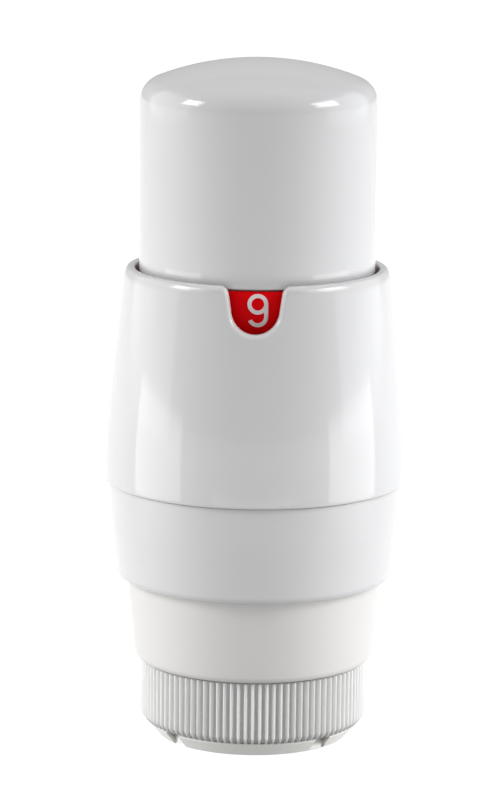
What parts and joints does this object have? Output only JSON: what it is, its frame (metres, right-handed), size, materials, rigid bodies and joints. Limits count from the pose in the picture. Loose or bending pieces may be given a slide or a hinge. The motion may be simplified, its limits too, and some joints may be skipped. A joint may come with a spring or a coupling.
{
  "type": "thermostatic radiator valve head",
  "caption": "Thermostatic radiator head with a domed handwheel, a windowed barrel over a numbered ring, and a knurled union nut below.",
  "frame": {"origin": "bottom centre of the union nut, on the axis of the head", "axes": "+Z along the axis from the union nut to the handwheel cap, -Y towards the scale window"},
  "size_m": [0.0465, 0.0464, 0.105],
  "materials": {
    "gloss_white": "glossy moulded white plastic",
    "satin_white": "satin moulded white plastic, slightly warm",
    "nut_white": "satin ribbed white plastic",
    "nut_insert": "warm light grey glass-filled plastic",
    "scale_red": "smooth red plastic",
    "scale_print": "white pad print",
    "mechanism_plastic": "grey acetal",
    "spring_steel": "oiled spring steel",
    "sensor_metal": "drawn brass",
    "sensor_can": "drawn aluminium"
  },
  "bodies": {
    "base": {"base_housing": "satin_white", "nut_retaining_ring": "spring_steel", "tappet_guide": "mechanism_plastic", "carriage_guide": "mechanism_plastic", "skirt_ring": "gloss_white", "barrel_shell": "gloss_white", "handwheel_retaining_ring": "spring_steel"},
    "handwheel": {"handwheel_cap": "gloss_white", "threaded_bush": "mechanism_plastic", "scale_ring": "scale_red", "scale_numerals": "scale_print"},
    "carriage": {"threaded_carrier": "mechanism_plastic", "spring_retainer": "spring_steel", "overload_spring": "spring_steel"},
    "sensor": {"sensor_can": "sensor_can", "fill_tube": "sensor_metal", "sensor_end_plate": "sensor_metal", "bellows": "sensor_metal"},
    "tappet": {"bellows_cap": "sensor_metal", "push_pin": "mechanism_plastic", "pin_tip": "spring_steel"},
    "union_nut": {"union_nut_insert": "nut_insert", "knurled_sleeve": "nut_white"}
  },
  "joints": [
    {"name": "handwheel_turn", "type": "hinge", "parent": "base", "child": "handwheel", "pos_m": [0, 0, 0.045], "axis": [0, 0, 1], "range_deg": [-300.1, 0]},
    {"name": "carriage_slide", "type": "slide", "parent": "base", "child": "carriage", "axis": [0, 0, 1], "range_m": [-0.005, 0]},
    {"name": "sensor_overtravel", "type": "slide", "parent": "carriage", "child": "sensor", "axis": [0, 0, 1], "range_m": [0, 0.004], "stiffness_N_per_m": 8000, "springref_m": -0.008, "deforming": ["overload_spring"]},
    {"name": "tappet_stroke", "type": "slide", "parent": "sensor", "child": "tappet", "axis": [0, 0, 1], "range_m": [-0.003, 0.001], "stiffness_N_per_m": 4000, "deforming": ["bellows"]},
    {"name": "union_nut_turn", "type": "hinge", "parent": "base", "child": "union_nut", "pos_m": [0, 0, 0.0105], "axis": [0, 0, 1], "continuous": true}
  ],
  "couplings": [
    {"joint": "handwheel_turn", "follows": "carriage_slide", "rad_per_m": 1047.2}
  ]
}
